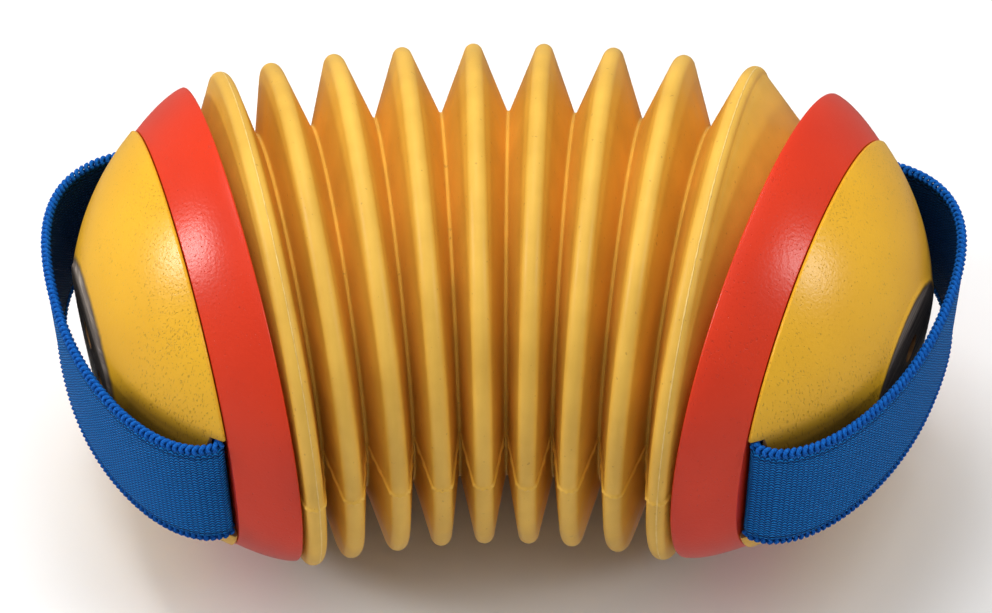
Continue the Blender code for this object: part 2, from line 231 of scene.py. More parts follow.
def grid_normals(rows):
    """Unit normals of a grid of rings, one row per ring."""
    down = np.gradient(rows, axis=0)
    round_it = np.roll(rows, -1, axis=1) - np.roll(rows, 1, axis=1)
    normals = np.cross(round_it, down)
    return normals / np.maximum(np.linalg.norm(normals, axis=2, keepdims=True), 1e-12)


def seam_distance():
    """How far along the crest's circle each angle lies from the mould seam."""
    return np.abs((ANGLES + SEAM_TILT + math.pi / 2) % math.pi - math.pi / 2) * CREST_RADIUS


def seam_relief(rows):
    """The mould seam's ragged ridge, and the slight step down from the lower mould half."""
    ridge = np.exp(-((seam_distance() / SEAM_WIDTH) ** 2))
    place = np.arange(rows)
    ragged = 0.85 + 0.4 * np.sin(1.9 * place + 0.6) * np.sin(math.pi * place / (rows - 1))
    lower = 1 / (1 + np.exp(np.sin(ANGLES + SEAM_TILT) * CREST_RADIUS / SEAM_STEP_ROUND))
    return SEAM_HEIGHT * np.outer(ragged, ridge) + SEAM_STEP * lower[None, :]


def mesh_object(name, points, faces, look, smooth_angle=40):
    mesh = bpy.data.meshes.new(name)
    mesh.from_pydata([tuple(p) for p in points], [], [tuple(f) for f in faces])
    mesh.update()
    made = bmesh.new()
    made.from_mesh(mesh)
    bmesh.ops.recalc_face_normals(made, faces=made.faces)
    made.to_mesh(mesh)
    made.free()
    mesh.shade_smooth()
    mesh.set_sharp_from_angle(angle=math.radians(smooth_angle))
    thing = bpy.data.objects.new(name, mesh)
    bpy.context.scene.collection.objects.link(thing)
    mesh.materials.append(look)
    return thing


def torus_faces(rows, columns):
    faces = []
    for j in range(rows):
        k = (j + 1) % rows
        for i in range(columns):
            n = (i + 1) % columns
            faces.append((j * columns + i, j * columns + n, k * columns + n, k * columns + i))
    return faces


def add_floats(thing, name, values):
    attribute = thing.data.attributes.new(name, "FLOAT", "POINT")
    attribute.data.foreach_set("value", np.asarray(values, np.float32).ravel())


def add_vectors(thing, name, values):
    attribute = thing.data.attributes.new(name, "FLOAT_VECTOR", "POINT")
    attribute.data.foreach_set("vector", np.asarray(values, np.float32).ravel())


def rubber_ring(name, outer, inner, look):
    """A closed ring of rubber from its outer rows and inner rows. The rows run the same way."""
    rows = np.array(outer)
    normals = grid_normals(rows)
    centre = rows.mean(axis=(0, 1))
    outwards = ((rows - centre) * normals).sum(axis=2).mean()
    relief = seam_relief(len(rows)) * math.copysign(1, outwards)
    rows = rows + normals * relief[:, :, None]
    everything = np.concatenate([rows, np.array(inner)[::-1]])
    count = len(ANGLES)
    points = everything.reshape(-1, 3)
    thing = mesh_object(name, points, torus_faces(len(everything), count), look)
    add_vectors(thing, "rest", points)
    return thing


# ---------------------------------------------------------------- the bellows

def flank_rows(crest, foot, side, shares, inside=False):
    """Circles down a flank: side is +1 where the foot lies ahead of the crest."""
    shift = -side * WALL if inside else 0.0
    top = circle(crest, side * SHOULDER_HALF + shift, SHOULDER_RADIUS)
    low = circle(foot, -side * VALLEY_HALF + shift, VALLEY_RADIUS)
    return [top + (low - top) * share for share in shares]


def tip_share(number, side):
    """The share of a pleat's flank that its tip's piece keeps: less beside an end."""
    return END_TIP_SHARE if (number, side) in ((1, -1), (9, 1)) else TIP_SHARE


def crest_tip(number, crest, before, after, look):
    back, ahead = tip_share(number, -1), tip_share(number, 1)
    outer = flank_rows(crest, before, -1, (back, back * 2 / 3, back / 3))
    across = [-SHOULDER_HALF * 1.5] * 3
    for i in range(17):
        turn = TIP_TURN * (i / 8 - 1)
        offset, height = TIP_ROUND * math.sin(turn), TIP_ROUND * math.cos(turn)
        outer.append(circle(crest, offset, CREST_RADIUS - TIP_ROUND + height))
        across.append(TIP_ROUND * turn)
    outer += flank_rows(crest, after, 1, (ahead / 3, ahead * 2 / 3, ahead))
    inner = flank_rows(crest, before, -1, (back,), inside=True)
    inner.append(circle(crest, 0, SHOULDER_RADIUS - WALL / 2))
    inner += flank_rows(crest, after, 1, (ahead,), inside=True)
    tip = rubber_ring(f"crest_{number}", outer, inner, look)
    height = np.linalg.norm((np.array(outer + inner[::-1]) - crest.centre), axis=2)
    add_floats(tip, "crest", (height - VALLEY_RADIUS) / (CREST_RADIUS - VALLEY_RADIUS))
    across += [SHOULDER_HALF * 1.5] * 3 + [FAR_FROM_FLASH] * 3
    flash = FLASH_ACROSS if number in (1, 9) else FAR_FROM_FLASH
    add_floats(tip, "flash", np.repeat(np.array(across) - flash, len(ANGLES)))
    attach(tip, f"pleat_{number}")
    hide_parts(f"pleat_{number}")


def bend_between(piece, station, side, start_rings, end_rings):
    """Find the span along a station's axis from past a piece's start rings to short of its end
    rings, then bake the piece's transform into its mesh."""
    along = side * station.along
    begin = max(((ring - station.centre) @ along).max() for ring in start_rings)
    finish = min(((ring - station.centre) @ along).min() for ring in end_rings)
    finish = max(finish, begin + 0.3 * MM)
    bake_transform(piece)


def finish_flank(name, outer, inner, shares, look):
    """Make a flank's ring and store how near to the crest each row lies."""
    piece = rubber_ring(name, outer, inner, look)
    add_floats(piece, "crest", np.repeat([1 - share for share in shares], len(ANGLES)))
    add_floats(piece, "flash", np.full(len(shares) * len(ANGLES), FAR_FROM_FLASH))
    return piece


def flank(name, crest, valley, side, look):
    """One side of a pleat, from just under the crest tip to the middle of the valley."""
    shares = [TIP_SHARE + (1 - TIP_SHARE) * i / 10 for i in range(11)]
    outer = flank_rows(crest, valley, side, shares)
    for turn in (30, 60, 90):
        turn = math.radians(turn)
        offset = -side * VALLEY_HALF * math.cos(turn)
        outer.append(circle(valley, offset, VALLEY_RADIUS - VALLEY_DEPTH * math.sin(turn)))
    inner = flank_rows(crest, valley, side, shares[::2], inside=True)
    inner.append(circle(valley, 0, VALLEY_RADIUS - VALLEY_DEPTH - WALL))
    rows = shares + [1.0] * 3 + (shares[::2] + [1.0])[::-1]
    piece = finish_flank(name, outer, inner, rows, look)
    bend_between(piece, crest, side, outer[:1], outer[len(shares) - 1 :])
    return piece


def end_flanks(hand, number, crest, foot, end, look):
    """The last flank, from the end pleat into the collar: one piece runs down to the
    cuff's middle, and the other runs from there to the foot."""
    side = 1 if hand == "right" else -1
    middle = 0.5
    upper = [END_TIP_SHARE + (middle - END_TIP_SHARE) * i / 5 for i in range(6)]
    lower = [middle + (1 - middle) * i / 6 for i in range(7)]
    spans = (
        ("upper", upper, f"pleat_{number}", f"{hand}_cuff", crest, side),
        ("lower", lower, f"{hand}_cuff", f"{hand}_end", end, 1),
    )
    for word, shares, first, second, station, way in spans:
        outer = flank_rows(crest, foot, side, shares)
        inner = flank_rows(crest, foot, side, (shares[0], shares[-1]), inside=True)
        rows = shares + [shares[-1], shares[0]]
        piece = finish_flank(f"{hand}_end_flank_{word}", outer, inner, rows, look)
        bend_between(piece, station, way, outer[:1], outer[-1:])
        if word == "upper":
            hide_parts(f"{hand}_cuff")


def build_bellows(crests, folds, ends, look):
    feet = dict(folds)
    left, right = (ends[hand].ahead(END_DEPTH + VALLEY_HALF) for hand in ("left", "right"))
    feet[0], feet[9] = Station(left.centre, -left.along), right
    for number in range(1, 10):
        crest_tip(number, crests[number], feet[number - 1], feet[number], look)
    for number in range(1, 9):
        middle = f"fold_{number}"
        rise = flank(f"flank_{number}_down", crests[number], folds[number], 1, look)
        flank(f"flank_{number + 1}_up", crests[number + 1], folds[number], -1, look)
        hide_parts(middle)
    end_flanks("left", 1, crests[1], feet[0], ends["left"], look)
    end_flanks("right", 9, crests[9], feet[9], ends["right"], look)


# ---------------------------------------------------------------- the turned ends

def settle(thing, matrix, hand, replaced):
    """Keep the piece's own coordinates for its look, then put it in its place for good."""
    points = np.array([vertex.co for vertex in thing.data.vertices])
    add_vectors(thing, "own", points)
    thing.data.transform(matrix)
    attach(thing, f"{hand}_end")
    if replaced:
        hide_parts(f"{hand}_{replaced}")


def turned(name, profile, look, sides=TURNED_SIDES, place=None):
    """A turned solid about its local X axis from a profile of (offset, radius)."""
    points, faces, loops = [], [], []
    for offset, radius in profile:
        first = len(points)
        count = 1 if radius == 0 else sides
        for i in range(count):
            turn = 2 * math.pi * i / sides
            points.append((offset, radius * math.cos(turn), radius * math.sin(turn)))
        loops.append((first, count))
    closes = profile[0][1] != 0
    pairs = list(zip(loops, loops[1:])) + ([(loops[-1], loops[0])] if closes else [])
    for (near, near_count), (far, far_count) in pairs:
        for i in range(sides):
            j = (i + 1) % sides
            corners = [near + i % near_count, near + j % near_count]
            corners += [far + j % far_count, far + i % far_count]
            faces.append(tuple(dict.fromkeys(corners)))
    thing = mesh_object(name, points, faces, look)
    if place:
        thing.data.transform(place)
    return thing


def arc(centre, radius, start, stop, steps):
    """Points (offset, radius) on a round edge; angles in degrees, 90 is straight out."""
    points = []
    for i in range(steps + 1):
        turn = math.radians(start + (stop - start) * i / steps)
        points.append((centre[0] + radius * math.cos(turn), centre[1] + radius * math.sin(turn)))
    return points


def collar_profile():
    """The collar's section: a crisp rim, a swept outer face, the recess and the air bore."""
    rim = COLLAR_FACE + COLLAR_RIM_ROUND
    points = arc((rim, COLLAR_RADIUS - COLLAR_RIM_ROUND), COLLAR_RIM_ROUND, 180, 90, 6)
    slope = COLLAR_RADIUS - COLLAR_BACK_RADIUS
    for i in range(2, 24):
        offset = (COLLAR_BACK - COLLAR_BACK_ROUND) * i / 23
        share = (offset - rim) / (COLLAR_BACK - rim)
        points.append((offset, COLLAR_RADIUS - slope * share**COLLAR_CURVE))
    edge = (points[-1][0] - COLLAR_BACK_ROUND / 3, points[-1][1] - COLLAR_BACK_ROUND)
    points += arc(edge, COLLAR_BACK_ROUND, 45, 0, 4)
    back = points[-1][0]
    return points + [(back, AIR_BORE), (RECESS_FLOOR, AIR_BORE), (RECESS_FLOOR, RECESS_RADIUS)]


def dome_profile():
    """The dome's section: a short rounded base edge, the sphere, and the flat's round rim."""
    steps = 30
    start = math.acos((DOME_SPHERE_START - DOME_SPHERE_CENTRE) / DOME_SPHERE)
    stop = math.acos((DOME_FLAT - DOME_RIM_RISE - DOME_SPHERE_CENTRE) / DOME_SPHERE)
    first = (DOME_SPHERE_CENTRE + DOME_SPHERE * math.cos(start), DOME_SPHERE * math.sin(start))
    profile = [(DOME_BASE, 0), (DOME_BASE, DOME_BASE_RADIUS)]
    for i in range(1, 6):
        turn = math.pi / 2 * i / 6
        rise = (first[1] - DOME_BASE_RADIUS) * math.sin(turn)
        run = (first[0] - DOME_BASE) * (1 - math.cos(turn))
        profile.append((DOME_BASE + run, DOME_BASE_RADIUS + rise))
    for i in range(steps + 1):
        angle = start + (stop - start) * i / steps
        offset = DOME_SPHERE_CENTRE + DOME_SPHERE * math.cos(angle)
        profile.append((offset, DOME_SPHERE * math.sin(angle)))
    rim = profile[-1][1]
    for share in (0.35, 0.7, 1.0):
        offset = DOME_FLAT - DOME_RIM_RISE * (1 - share) ** 2
        profile.append((offset, rim - DOME_RIM_DROP * share))
    return profile + [(DOME_FLAT, rim * 0.5), (DOME_FLAT, 0)]


def cut(thing, cutter):
    """Take the cutter out of the thing and drop the cutter."""
    modifier = thing.modifiers.new("cut", "BOOLEAN")
    modifier.operation = "DIFFERENCE"
    modifier.object = cutter
    bpy.context.view_layer.update()
    graph = bpy.context.evaluated_depsgraph_get()
    mesh = bpy.data.meshes.new_from_object(thing.evaluated_get(graph), depsgraph=graph)
    thing.modifiers.clear()
    thing.data = mesh
    bpy.data.objects.remove(cutter)


def box_cutter(low, high, look):
    made = bmesh.new()
    bmesh.ops.create_cube(made, size=1.0)
    for vertex in made.verts:
        vertex.co = Vector([low[i] if vertex.co[i] < 0 else high[i] for i in range(3)])
    mesh = bpy.data.meshes.new("cutter")
    made.to_mesh(mesh)
    made.free()
    mesh.materials.append(look)
    cutter = bpy.data.objects.new("cutter", mesh)
    bpy.context.scene.collection.objects.link(cutter)
    return cutter


def build_dome(hand, matrix, looks):
    bare = looks["bare_wood"]
    dome = turned(f"{hand}_dome_shell", dome_profile(), looks["yellow_paint"])
    dome.data.materials.append(bare)
    side = 1 if hand == "right" else -1
    rods = [((0, 0), (DOME_BASE - MM, CHAMBER_ROOF), CHAMBER_RADIUS, 64)]
    for across in (-1, 1):
        place = (across * SOUND_HOLE_ACROSS, across * side * SOUND_HOLE_UP)
        rods.append((place, (CHAMBER_ROOF - MM, DOME_FLAT + MM), SOUND_HOLE_RADIUS, 48))
    for (y, z), (near, far), radius, sides in rods:
        profile = [(near, 0), (near, radius), (far, radius), (far, 0)]
        cut(dome, turned("cutter", profile, bare, sides, Matrix.Translation((0, y, z))))
    for across in (-1, 1):
        for start, roof in ((POCKET_START, POCKET_ROOF), (NOTCH_FLAT, DOME_FLAT)):
            inner, outer = sorted((across * start, across * PAST_DOME))
            low = (DOME_BASE - MM, inner, -POCKET_HALF_WIDTH)
            cut(dome, box_cutter(low, (roof, outer, POCKET_HALF_WIDTH), bare))
    dome.data.shade_smooth()
    dome.data.set_sharp_from_angle(angle=math.radians(30))
    add_floats(dome, "scorch", [SCORCH_RADIUS[hand]] * len(dome.data.vertices))
    settle(dome, matrix, hand, "dome")


def strap_half(handles):
    """One half of the strap's middle line, from its end inside the pocket to the loop's top."""
    points = [(STRAP_TAIL, STRAP_TAIL_START)]
    for i in range(25):
        turn = math.pi / 2 * i / 24
        offset = STRAP_TAIL + STRAP_TURN * (1 - math.cos(turn))
        points.append((offset, STRAP_OUT - STRAP_TURN * (1 - math.sin(turn))))
    start, stop = np.array(points[-1]), np.array((STRAP_PEAK, 0.0))
    handle = np.array((handles[0], STRAP_OUT + STRAP_SPREAD))
    peak_handle = np.array((STRAP_PEAK, handles[1]))
    for i in range(1, 61):
        t = i / 60
        s = 1 - t
        curve = s**3 * start + 3 * s * s * t * handle + 3 * s * t * t * peak_handle + t**3 * stop
        points.append(tuple(curve))
    return points


def strap_path(hand, spacing):
    """Evenly spaced points (offset, across) along the strap's middle line. The loop leans
    towards the outside of the arch, which lies at +across on the right end."""
    far, near = strap_half(STRAP_FAR_HANDLES), strap_half(STRAP_NEAR_HANDLES)
    points = np.array(far + [(offset, -across) for offset, across in reversed(near[:-1])])
    bow = (1 - (points[:, 1] / STRAP_OUT) ** 2).clip(0)
    points[:, 1] += STRAP_LEAN * bow * (points[:, 0] > STRAP_CLEAR)
    if hand == "left":
        points = (points * (1, -1))[::-1]
    length = np.concatenate([[0], np.cumsum(np.linalg.norm(np.diff(points, axis=0), axis=1))])
    count = int(length[-1] / spacing)
    at = np.linspace(0, length[-1], count + 1)
    return at, np.stack([np.interp(at, length, points[:, i]) for i in (0, 1)], axis=1)


def build_strap(hand, matrix, looks):
    """A knitted elastic: a ribbed body with rounded edges, and a looped cord on both edges."""
    at, path = strap_path(hand, STRAP_STEP)
    tangent = np.gradient(path, axis=0)
    tangent /= np.linalg.norm(tangent, axis=1, keepdims=True)
    normal = np.stack([tangent[:, 1], -tangent[:, 0]], axis=1)
    section = []
    columns = 30
    for i in range(columns + 1):
        section.append((1, STRAP_BODY_HALF * (2 * i / columns - 1)))
    for i in range(columns + 1):
        section.append((-1, STRAP_BODY_HALF * (1 - 2 * i / columns)))
    ribs = STRAP_RIBS * np.cos(2 * math.pi * at / RIB_PITCH)
    points, knit = [], []
    for i, (middle, out) in enumerate(zip(path, normal)):
        for face, up in section:
            edge = min(1.0, (STRAP_BODY_HALF - abs(up)) / STRAP_EDGE_ROUND)
            thick = (STRAP_HALF_THICKNESS + ribs[i]) * (0.55 + 0.45 * math.sqrt(edge))
            place = middle + face * thick * out
            points.append((place[0], place[1], up))
            knit.append((at[i], up, face))
    count = len(section)
    faces = []
    for j in range(len(path) - 1):
        for i in range(count):
            n = (i + 1) % count
            faces.append((j * count + i, j * count + n, (j + 1) * count + n, (j + 1) * count + i))
    faces += [tuple(range(count)), tuple(range((len(path) - 1) * count, len(path) * count))]
    band = mesh_object(f"{hand}_strap_band", points, faces, looks["elastic"])
    add_vectors(band, "knit", knit)
    settle(band, matrix, hand, "strap")
    for word, up in (("upper", 1), ("lower", -1)):
        edge = looped_edge(f"{hand}_strap_edge_{word}", at, path, normal, up, looks["edge"])
        settle(edge, matrix, hand, None)


def looped_edge(name, at, path, normal, up, look):
    """One cord that loops over the strap's edge again and again, side to side."""
    turns = int((at[-1] - 2 * MM) / PICOT_PITCH)
    per_turn = 12
    line = []
    for i in range(turns * per_turn + 1):
        turn = i / per_turn
        along = MM + turn * PICOT_PITCH + PICOT_BUNCHING * math.sin(4 * math.pi * turn)
        angle = 2 * math.pi * turn
        out = (STRAP_HALF_THICKNESS - PICOT_INSET) * math.sin(angle)
        rise = STRAP_BODY_HALF + PICOT_RISE - PICOT_SWING * math.cos(angle) ** 3
        middle = np.array([np.interp(along, at, path[:, k]) for k in (0, 1)])
        side = np.array([np.interp(along, at, normal[:, k]) for k in (0, 1)])
        place = middle + out * side
        line.append((place[0], place[1], up * rise))
    return tube(name, np.array(line), PICOT_RADIUS, 6, look)


def tube(name, line, radius, sides, look):
    tangent = np.gradient(line, axis=0)
    tangent /= np.linalg.norm(tangent, axis=1, keepdims=True)
    normal = np.cross(tangent, UP)
    normal /= np.maximum(np.linalg.norm(normal, axis=1, keepdims=True), 1e-9)
    second = np.cross(tangent, normal)
    points, faces = [], []
    for i in range(len(line)):
        for k in range(sides):
            turn = 2 * math.pi * k / sides
            out = math.cos(turn) * normal[i] + math.sin(turn) * second[i]
            points.append(line[i] + radius * out)
    for i in range(len(line) - 1):
        for k in range(sides):
            n = (k + 1) % sides
            faces.append((i * sides + k, i * sides + n, (i + 1) * sides + n, (i + 1) * sides + k))
    last = (len(line) - 1) * sides
    faces += [tuple(range(sides)), tuple(range(last, last + sides))]
    return mesh_object(name, points, faces, look, smooth_angle=75)


def build_end(hand, end, looks):
    matrix = end.matrix()
    collar = turned(f"{hand}_collar_ring", collar_profile(), looks["red_paint"])
    settle(collar, matrix, hand, "collar")
    build_dome(hand, matrix, looks)
    build_strap(hand, matrix, looks)


# ---------------------------------------------------------------- materials

def new_material(name, roughness, **fixed):
    """A material and its shader; fixed holds the shader's constant values."""
    made = bpy.data.materials.new(name)
    made.use_nodes = True
    shader = made.node_tree.nodes["Principled BSDF"]
    shader.inputs["Roughness"].default_value = roughness
    for socket, value in fixed.items():
        shader.inputs[socket.replace("_", " ")].default_value = value
    return made, made.node_tree, shader


def add_node(tree, kind, inputs=None, **settings):
    made = tree.nodes.new(kind)
    for key, value in settings.items():
        setattr(made, key, value)
    for key, value in (inputs or {}).items():
        if isinstance(value, bpy.types.NodeSocket):
            tree.links.new(value, made.inputs[key])
        else:
            made.inputs[key].default_value = value
    return made


def maths(tree, operation, first, second=0.0, clamp=False):
    inputs = {0: first, 1: second}
    return add_node(tree, "ShaderNodeMath", inputs, operation=operation, use_clamp=clamp).outputs[0]


def ramp(tree, value, stops):
    """A colour ramp through (place, colour) stops."""
    made = add_node(tree, "ShaderNodeValToRGB", {0: value})
    elements = made.color_ramp.elements
    while len(elements) < len(stops):
        elements.new(0.5)
    for element, (place, colour) in zip(elements, stops):
        element.position = place
        element.color = (*colour, 1)
    return made.outputs[0]


def mixed(tree, share, first, second, blend_type="MIX"):
    made = add_node(tree, "ShaderNodeMix", data_type="RGBA", blend_type=blend_type)
    for socket, value in ((made.inputs[0], share), (made.inputs[6], first), (made.inputs[7], second)):
        if isinstance(value, bpy.types.NodeSocket):
            tree.links.new(value, socket)
        elif isinstance(value, tuple):
            socket.default_value = (*value, 1)
        else:
            socket.default_value = value
    return made.outputs[2]


def noise(tree, place, scale, detail=3.0, roughness=0.55):
    inputs = {"Vector": place, "Scale": scale, "Detail": detail, "Roughness": roughness}
    return add_node(tree, "ShaderNodeTexNoise", inputs).outputs["Fac"]


def bump(tree, shader, height, distance, strength=1.0):
    inputs = {"Height": height, "Distance": distance, "Strength": strength}
    tree.links.new(add_node(tree, "ShaderNodeBump", inputs).outputs[0], shader.inputs["Normal"])


def object_place(tree):
    return add_node(tree, "ShaderNodeTexCoord").outputs["Object"]


def own_place(tree):
    """The piece's own coordinates, with X along the end's axis."""
    return attribute(tree, "own", "Vector")


def stretched(tree, place, scale):
    return add_node(tree, "ShaderNodeMapping", {"Vector": place, "Scale": scale}).outputs[0]


def attribute(tree, name, output):
    return add_node(tree, "ShaderNodeAttribute", attribute_name=name).outputs[output]


def rubber_look():
    """Honey yellow moulded rubber: amber down the flanks, a painted highlight on the crest tips and
    a painted highlight line along the valley floors, sparse brown specks and a fine satin grain."""
    made, tree, shader = new_material("bellows_rubber", 0.46, Specular_IOR_Level=0.3)
    place = attribute(tree, "rest", "Vector")
    crest = attribute(tree, "crest", "Fac")
    # Painted highlight: the colour turns paler on the crest tips (crest 1) and along the valley floors (crest 0)
    stops = [(0.0, (0.83, 0.48, 0.075)), (0.06, (0.84, 0.45, 0.066)), (0.6, (0.84, 0.45, 0.062))]
    stops += [(0.88, (0.80, 0.445, 0.056)), (1.0, (0.80, 0.475, 0.080))]
    colour = ramp(tree, crest, stops)
    cloud = ramp(tree, noise(tree, place, 60.0), [(0.35, (0.86, 0.84, 0.80)), (0.65, (1.0, 1.0, 1.0))])
    colour = mixed(tree, 1.0, colour, cloud, "MULTIPLY")
    specks = noise(tree, place, 900.0, 1.0)
    speck_share = ramp(tree, specks, [(0.73, (0, 0, 0)), (0.77, (0.4, 0.4, 0.4))])
    colour = mixed(tree, speck_share, colour, (0.33, 0.14, 0.03))
    from_flash = maths(tree, "ABSOLUTE", attribute(tree, "flash", "Fac"))
    ragged = maths(tree, "MULTIPLY", noise(tree, place, 500.0, 2.0), FLASH_RAGGED)
    near = maths(tree, "SUBTRACT", maths(tree, "ADD", ragged, FLASH_HALF_WIDTH), from_flash)
    flash = maths(tree, "DIVIDE", near, FLASH_FADE, clamp=True)
    colour = mixed(tree, maths(tree, "MULTIPLY", flash, 0.8), colour, (0.93, 0.66, 0.24))
    tree.links.new(colour, shader.inputs["Base Color"])
    grain = noise(tree, place, 1500.0, 2.0)
    soft = noise(tree, place, 180.0, 2.0)
    height = maths(tree, "ADD", maths(tree, "MULTIPLY", grain, 0.35), soft)
    bump(tree, shader, maths(tree, "ADD", height, maths(tree, "MULTIPLY", flash, 2.0)), 0.12 * MM, 0.6)
    rough = ramp(tree, noise(tree, place, 120.0), [(0.3, (0.36,) * 3), (0.7, (0.50,) * 3)])
    tree.links.new(rough, shader.inputs["Roughness"])
    return made


def paint_look(name, stops, roughness, grain_scale, least, strength):
    """Paint over turned wood, with a fine orange peel. The grain's pores show as short dashes
    where their noise passes least, darkened by strength."""
    made, tree, shader = new_material(name, roughness, Specular_IOR_Level=0.5)
    place = own_place(tree)
    cloud = noise(tree, place, 35.0, 2.0)
    colour = ramp(tree, cloud, stops)
    pores = noise(tree, stretched(tree, place, grain_scale), 1.0, 1.0, 0.5)
    patches = noise(tree, place, 45.0, 1.0)
    pores = maths(tree, "ADD", pores, maths(tree, "MULTIPLY", patches, 0.25))
    pore_share = ramp(tree, pores, [(least, (0, 0, 0)), (least + 0.07, (1, 1, 1))])
    shade = tuple(c * 0.35 for c in stops[0][1])
    colour = mixed(tree, maths(tree, "MULTIPLY", pore_share, strength), colour, shade)
    orange_peel = noise(tree, place, 1300.0, 1.0)
    height = maths(tree, "SUBTRACT", maths(tree, "MULTIPLY", orange_peel, 0.8), pore_share)
    bump(tree, shader, height, 0.07 * MM, 0.8)
    return made, tree, shader, place, colour


def red_paint_look():
    stops = [(0.3, (0.64, 0.034, 0.010)), (0.7, (0.73, 0.042, 0.010))]
    grain = (2600.0, 2600.0, 900.0)
    made, tree, shader, _, colour = paint_look("red_paint", stops, 0.3, grain, 0.82, 0.15)
    tree.links.new(colour, shader.inputs["Base Color"])
    return made


def scorch_shares(tree, place, parts, radius):
    """The shares of burnt rim and of bare wood, from the scorched circle inwards."""
    ragged = maths(tree, "MULTIPLY", noise(tree, place, 260.0), SCORCH_RAGGED)
    reach = maths(tree, "ADD", radius, ragged)
    inward = maths(tree, "SUBTRACT", attribute(tree, "scorch", "Fac"), reach)
    facing = maths(tree, "GREATER_THAN", parts["X"], DOME_FRONT)
    burnt = maths(tree, "DIVIDE", inward, BURNT_BAND, clamp=True)
    bare = maths(tree, "DIVIDE", maths(tree, "SUBTRACT", inward, BARE_INSET), BARE_BAND, clamp=True)
    return maths(tree, "MULTIPLY", burnt, facing), maths(tree, "MULTIPLY", bare, facing)


def strap_shadow(tree, parts):
    """The painted shadow of the strap: how dark the dome's paint is made under the strap, on both sides of the
    flat.
    """
    height = maths(tree, "SUBTRACT", STRAP_SHADOW_HALF_WIDTH, maths(tree, "ABSOLUTE", parts["Z"]))
    under = maths(tree, "DIVIDE", height, STRAP_SHADOW_EDGE, clamp=True)
    outward = maths(tree, "SUBTRACT", maths(tree, "ABSOLUTE", parts["Y"]), STRAP_SHADOW_START)
    aside = maths(tree, "DIVIDE", outward, STRAP_SHADOW_RUN, clamp=True)
    return maths(tree, "MULTIPLY", maths(tree, "MULTIPLY", under, aside), 0.75)


def flat_wood(tree, place, radius):
    """Streaked dark wood with a thin turned ring."""
    streaks = noise(tree, stretched(tree, place, (60.0, 60.0, 900.0)), 1.0, 3.0)
    dark, middle, pale = (0.11, 0.085, 0.068), (0.23, 0.185, 0.15), (0.42, 0.35, 0.28)
    wood = ramp(tree, streaks, [(0.3, dark), (0.55, middle), (0.75, pale)])
    off_ring = maths(tree, "ABSOLUTE", maths(tree, "SUBTRACT", radius, TURNED_RING))
    ring = maths(tree, "DIVIDE", off_ring, TURNED_RING_HALF_WIDTH)
    ring = maths(tree, "SUBTRACT", 1.0, ring, clamp=True)
    return mixed(tree, maths(tree, "MULTIPLY", ring, 0.6), wood, (0.26, 0.22, 0.18))


def yellow_paint_look():
    """Yellow paint with a painted shadow under the strap, and a burnt rim round the flat's dark wood."""
    stops = [(0.3, (0.78, 0.405, 0.018)), (0.7, (0.86, 0.465, 0.022))]
    grain = (2800.0, 2800.0, 560.0)
    made, tree, shader, place, colour = paint_look("yellow_paint", stops, 0.3, grain, 0.765, 0.4)
    parts = add_node(tree, "ShaderNodeSeparateXYZ", {0: place}).outputs
    across = maths(tree, "MULTIPLY", parts["Y"], parts["Y"])
    upward = maths(tree, "MULTIPLY", parts["Z"], parts["Z"])
    radius = maths(tree, "SQRT", maths(tree, "ADD", across, upward))
    burnt, bare = scorch_shares(tree, place, parts, radius)
    # Painted shadow: the paint is darkened where the strap shades the dome
    colour = mixed(tree, strap_shadow(tree, parts), colour, (0.09, 0.045, 0.008))
    colour = mixed(tree, burnt, colour, (0.065, 0.044, 0.030))
    colour = mixed(tree, bare, colour, flat_wood(tree, place, radius))
    tree.links.new(colour, shader.inputs["Base Color"])
    rough = ramp(tree, bare, [(0.0, (0.3,) * 3), (1.0, (0.8,) * 3)])
    tree.links.new(rough, shader.inputs["Roughness"])
    return made


def wood_look(name, dark, light, scale=(40.0, 40.0, 900.0), roughness=0.6):
    made, tree, shader = new_material(name, roughness)
    place = own_place(tree) if name == "bare_wood" else object_place(tree)
    grain = noise(tree, stretched(tree, place, scale), 1.0, 4.0)
    tree.links.new(ramp(tree, grain, [(0.3, dark), (0.7, light)]), shader.inputs["Base Color"])
    bump(tree, shader, grain, 0.08 * MM, 0.5)
    return made


def knit_height(tree, place):
    """Ribs across the strap, each a column of short slanting stitches with pits between."""
    parts = add_node(tree, "ShaderNodeSeparateXYZ", {0: place}).outputs
    column = maths(tree, "MULTIPLY", parts["X"], 1 / RIB_PITCH)
    inside = maths(tree, "ABSOLUTE", maths(tree, "SUBTRACT", maths(tree, "FRACT", column), 0.5))
    wander = maths(tree, "MULTIPLY", noise(tree, place, 300.0, 1.0), 0.8)
    row = maths(tree, "ADD", maths(tree, "MULTIPLY", parts["Y"], 1 / STITCH_PITCH), wander)
    row = maths(tree, "ADD", row, maths(tree, "MULTIPLY", inside, 0.9))
    row = maths(tree, "ADD", row, maths(tree, "MULTIPLY", maths(tree, "FLOOR", column), 0.5))
    stitch = maths(tree, "SINE", maths(tree, "MULTIPLY", row, 2 * math.pi))
    rib = maths(tree, "SUBTRACT", 1.1, maths(tree, "MULTIPLY", inside, 1.1), clamp=True)
    loop = maths(tree, "ADD", maths(tree, "MULTIPLY", stitch, 0.48), 0.52)
    return maths(tree, "MULTIPLY", rib, loop), parts


